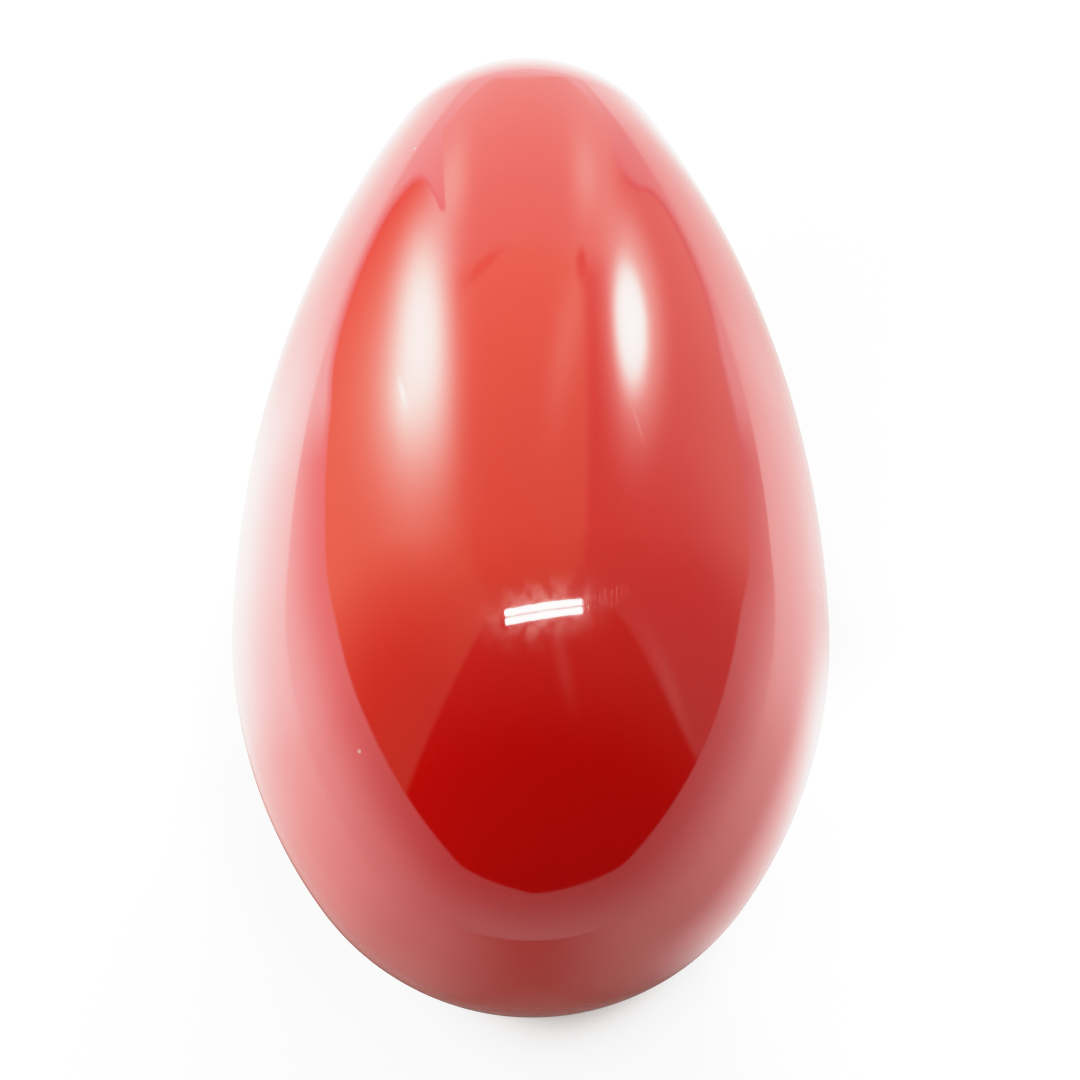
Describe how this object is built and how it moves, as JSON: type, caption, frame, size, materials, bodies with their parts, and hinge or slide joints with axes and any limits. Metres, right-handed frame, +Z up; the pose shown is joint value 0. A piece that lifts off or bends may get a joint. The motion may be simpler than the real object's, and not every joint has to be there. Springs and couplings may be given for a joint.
{
  "type": "egg shaker",
  "caption": "Egg-shaped hand shaker: a glossy hollow casing of two cemented halves, with loose steel shot inside that rolls round the wall and is tossed across it.",
  "frame": {"origin": "on the surface that the egg lies on, under the middle of its length and its long axis", "axes": "+Y along the long axis towards the pointed end, +Z up, +X to the right as seen from the blunt end"},
  "size_m": [0.042, 0.072, 0.042],
  "materials": {
    "red_gloss": "polished to a mirror gloss, with a clear coat",
    "cement": "set cement, slightly rough",
    "shot_steel": "rolled steel shot, bright with fine rub marks"
  },
  "bodies": {
    "casing": {"blunt_shell": "red_gloss", "pointed_shell": "red_gloss", "cement_bead": "cement"},
    "row1": {"ball_row1_1": "shot_steel"},
    "row2": {"ball_row2_3": "shot_steel"},
    "row2_ball1": {"ball_row2_1": "shot_steel"},
    "row2_ball2": {"ball_row2_2": "shot_steel"},
    "row2_ball4": {"ball_row2_4": "shot_steel"},
    "row2_ball5": {"ball_row2_5": "shot_steel"},
    "row3": {"ball_row3_3": "shot_steel"},
    "row3_ball1": {"ball_row3_1": "shot_steel"},
    "row3_ball2": {"ball_row3_2": "shot_steel"},
    "row3_ball4": {"ball_row3_4": "shot_steel"},
    "row3_ball5": {"ball_row3_5": "shot_steel"},
    "row4": {"ball_row4_3": "shot_steel"},
    "row4_ball1": {"ball_row4_1": "shot_steel"},
    "row4_ball2": {"ball_row4_2": "shot_steel"},
    "row4_ball4": {"ball_row4_4": "shot_steel"},
    "row4_ball5": {"ball_row4_5": "shot_steel"},
    "row5": {"ball_row5_4": "shot_steel"},
    "row5_ball1": {"ball_row5_1": "shot_steel"},
    "row5_ball2": {"ball_row5_2": "shot_steel"},
    "row5_ball3": {"ball_row5_3": "shot_steel"},
    "row5_ball5": {"ball_row5_5": "shot_steel"},
    "row5_ball6": {"ball_row5_6": "shot_steel"},
    "row5_ball7": {"ball_row5_7": "shot_steel"},
    "row6": {"ball_row6_3": "shot_steel"},
    "row6_ball1": {"ball_row6_1": "shot_steel"},
    "row6_ball2": {"ball_row6_2": "shot_steel"},
    "row6_ball4": {"ball_row6_4": "shot_steel"},
    "row6_ball5": {"ball_row6_5": "shot_steel"},
    "row7": {"ball_row7_3": "shot_steel"},
    "row7_ball1": {"ball_row7_1": "shot_steel"},
    "row7_ball2": {"ball_row7_2": "shot_steel"},
    "row7_ball4": {"ball_row7_4": "shot_steel"},
    "row7_ball5": {"ball_row7_5": "shot_steel"},
    "row8": {"ball_row8_3": "shot_steel"},
    "row8_ball1": {"ball_row8_1": "shot_steel"},
    "row8_ball2": {"ball_row8_2": "shot_steel"},
    "row8_ball4": {"ball_row8_4": "shot_steel"},
    "row8_ball5": {"ball_row8_5": "shot_steel"},
    "row9": {"ball_row9_3": "shot_steel"},
    "row9_ball1": {"ball_row9_1": "shot_steel"},
    "row9_ball2": {"ball_row9_2": "shot_steel"},
    "row9_ball4": {"ball_row9_4": "shot_steel"},
    "row9_ball5": {"ball_row9_5": "shot_steel"},
    "row10": {"ball_row10_2": "shot_steel"},
    "row10_ball1": {"ball_row10_1": "shot_steel"},
    "row10_ball3": {"ball_row10_3": "shot_steel"},
    "row11": {"ball_row11_2": "shot_steel"},
    "row11_ball1": {"ball_row11_1": "shot_steel"},
    "row11_ball3": {"ball_row11_3": "shot_steel"}
  },
  "joints": [
    {"name": "row1_roll", "type": "hinge", "parent": "casing", "child": "row1", "pos_m": [0, -0.0262, 0.021], "axis": [0, 1, 0], "continuous": true},
    {"name": "row2_roll", "type": "hinge", "parent": "casing", "child": "row2", "pos_m": [0, -0.0219, 0.021], "axis": [0, 1, 0], "continuous": true},
    {"name": "row2_ball1_toss", "type": "slide", "parent": "row2", "child": "row2_ball1", "axis": [0, 0, 1], "range_m": [0, 0.02102]},
    {"name": "row2_ball2_toss", "type": "slide", "parent": "row2", "child": "row2_ball2", "axis": [0, 0, 1], "range_m": [0, 0.02577]},
    {"name": "row2_ball4_toss", "type": "slide", "parent": "row2", "child": "row2_ball4", "axis": [0, 0, 1], "range_m": [0, 0.02577]},
    {"name": "row2_ball5_toss", "type": "slide", "parent": "row2", "child": "row2_ball5", "axis": [0, 0, 1], "range_m": [0, 0.02102]},
    {"name": "row3_roll", "type": "hinge", "parent": "casing", "child": "row3", "pos_m": [0, -0.0176, 0.021], "axis": [0, 1, 0], "continuous": true},
    {"name": "row3_ball1_toss", "type": "slide", "parent": "row3", "child": "row3_ball1", "axis": [0, 0, 1], "range_m": [0, 0.02538]},
    {"name": "row3_ball2_toss", "type": "slide", "parent": "row3", "child": "row3_ball2", "axis": [0, 0, 1], "range_m": [0, 0.02943]},
    {"name": "row3_ball4_toss", "type": "slide", "parent": "row3", "child": "row3_ball4", "axis": [0, 0, 1], "range_m": [0, 0.02943]},
    {"name": "row3_ball5_toss", "type": "slide", "parent": "row3", "child": "row3_ball5", "axis": [0, 0, 1], "range_m": [0, 0.02538]},
    {"name": "row4_roll", "type": "hinge", "parent": "casing", "child": "row4", "pos_m": [0, -0.0133, 0.021], "axis": [0, 1, 0], "continuous": true},
    {"name": "row4_ball1_toss", "type": "slide", "parent": "row4", "child": "row4_ball1", "axis": [0, 0, 1], "range_m": [0, 0.02775]},
    {"name": "row4_ball2_toss", "type": "slide", "parent": "row4", "child": "row4_ball2", "axis": [0, 0, 1], "range_m": [0, 0.0315]},
    {"name": "row4_ball4_toss", "type": "slide", "parent": "row4", "child": "row4_ball4", "axis": [0, 0, 1], "range_m": [0, 0.0315]},
    {"name": "row4_ball5_toss", "type": "slide", "parent": "row4", "child": "row4_ball5", "axis": [0, 0, 1], "range_m": [0, 0.02775]},
    {"name": "row5_roll", "type": "hinge", "parent": "casing", "child": "row5", "pos_m": [0, -0.009, 0.021], "axis": [0, 1, 0], "continuous": true},
    {"name": "row5_ball1_toss", "type": "slide", "parent": "row5", "child": "row5_ball1", "axis": [0, 0, 1], "range_m": [0, 0.02105]},
    {"name": "row5_ball2_toss", "type": "slide", "parent": "row5", "child": "row5_ball2", "axis": [0, 0, 1], "range_m": [0, 0.02851]},
    {"name": "row5_ball3_toss", "type": "slide", "parent": "row5", "child": "row5_ball3", "axis": [0, 0, 1], "range_m": [0, 0.03216]},
    {"name": "row5_ball5_toss", "type": "slide", "parent": "row5", "child": "row5_ball5", "axis": [0, 0, 1], "range_m": [0, 0.03216]},
    {"name": "row5_ball6_toss", "type": "slide", "parent": "row5", "child": "row5_ball6", "axis": [0, 0, 1], "range_m": [0, 0.02851]},
    {"name": "row5_ball7_toss", "type": "slide", "parent": "row5", "child": "row5_ball7", "axis": [0, 0, 1], "range_m": [0, 0.02105]},
    {"name": "row6_roll", "type": "hinge", "parent": "casing", "child": "row6", "pos_m": [0, -0.0047, 0.021], "axis": [0, 1, 0], "continuous": true},
    {"name": "row6_ball1_toss", "type": "slide", "parent": "row6", "child": "row6_ball1", "axis": [0, 0, 1], "range_m": [0, 0.02822]},
    {"name": "row6_ball2_toss", "type": "slide", "parent": "row6", "child": "row6_ball2", "axis": [0, 0, 1], "range_m": [0, 0.03191]},
    {"name": "row6_ball4_toss", "type": "slide", "parent": "row6", "child": "row6_ball4", "axis": [0, 0, 1], "range_m": [0, 0.03191]},
    {"name": "row6_ball5_toss", "type": "slide", "parent": "row6", "child": "row6_ball5", "axis": [0, 0, 1], "range_m": [0, 0.02822]},
    {"name": "row7_roll", "type": "hinge", "parent": "casing", "child": "row7", "pos_m": [0, -0.0004, 0.021], "axis": [0, 1, 0], "continuous": true},
    {"name": "row7_ball1_toss", "type": "slide", "parent": "row7", "child": "row7_ball1", "axis": [0, 0, 1], "range_m": [0, 0.02731]},
    {"name": "row7_ball2_toss", "type": "slide", "parent": "row7", "child": "row7_ball2", "axis": [0, 0, 1], "range_m": [0, 0.03111]},
    {"name": "row7_ball4_toss", "type": "slide", "parent": "row7", "child": "row7_ball4", "axis": [0, 0, 1], "range_m": [0, 0.03111]},
    {"name": "row7_ball5_toss", "type": "slide", "parent": "row7", "child": "row7_ball5", "axis": [0, 0, 1], "range_m": [0, 0.02731]},
    {"name": "row8_roll", "type": "hinge", "parent": "casing", "child": "row8", "pos_m": [0, 0.0039, 0.021], "axis": [0, 1, 0], "continuous": true},
    {"name": "row8_ball1_toss", "type": "slide", "parent": "row8", "child": "row8_ball1", "axis": [0, 0, 1], "range_m": [0, 0.02578]},
    {"name": "row8_ball2_toss", "type": "slide", "parent": "row8", "child": "row8_ball2", "axis": [0, 0, 1], "range_m": [0, 0.02977]},
    {"name": "row8_ball4_toss", "type": "slide", "parent": "row8", "child": "row8_ball4", "axis": [0, 0, 1], "range_m": [0, 0.02977]},
    {"name": "row8_ball5_toss", "type": "slide", "parent": "row8", "child": "row8_ball5", "axis": [0, 0, 1], "range_m": [0, 0.02578]},
    {"name": "row9_roll", "type": "hinge", "parent": "casing", "child": "row9", "pos_m": [0, 0.0082, 0.021], "axis": [0, 1, 0], "continuous": true},
    {"name": "row9_ball1_toss", "type": "slide", "parent": "row9", "child": "row9_ball1", "axis": [0, 0, 1], "range_m": [0, 0.02356]},
    {"name": "row9_ball2_toss", "type": "slide", "parent": "row9", "child": "row9_ball2", "axis": [0, 0, 1], "range_m": [0, 0.02787]},
    {"name": "row9_ball4_toss", "type": "slide", "parent": "row9", "child": "row9_ball4", "axis": [0, 0, 1], "range_m": [0, 0.02787]},
    {"name": "row9_ball5_toss", "type": "slide", "parent": "row9", "child": "row9_ball5", "axis": [0, 0, 1], "range_m": [0, 0.02356]},
    {"name": "row10_roll", "type": "hinge", "parent": "casing", "child": "row10", "pos_m": [0, 0.0125, 0.021], "axis": [0, 1, 0], "continuous": true},
    {"name": "row10_ball1_toss", "type": "slide", "parent": "row10", "child": "row10_ball1", "axis": [0, 0, 1], "range_m": [0, 0.02537]},
    {"name": "row10_ball3_toss", "type": "slide", "parent": "row10", "child": "row10_ball3", "axis": [0, 0, 1], "range_m": [0, 0.02537]},
    {"name": "row11_roll", "type": "hinge", "parent": "casing", "child": "row11", "pos_m": [0, 0.0168, 0.021], "axis": [0, 1, 0], "continuous": true},
    {"name": "row11_ball1_toss", "type": "slide", "parent": "row11", "child": "row11_ball1", "axis": [0, 0, 1], "range_m": [0, 0.02222]},
    {"name": "row11_ball3_toss", "type": "slide", "parent": "row11", "child": "row11_ball3", "axis": [0, 0, 1], "range_m": [0, 0.02222]}
  ]
}
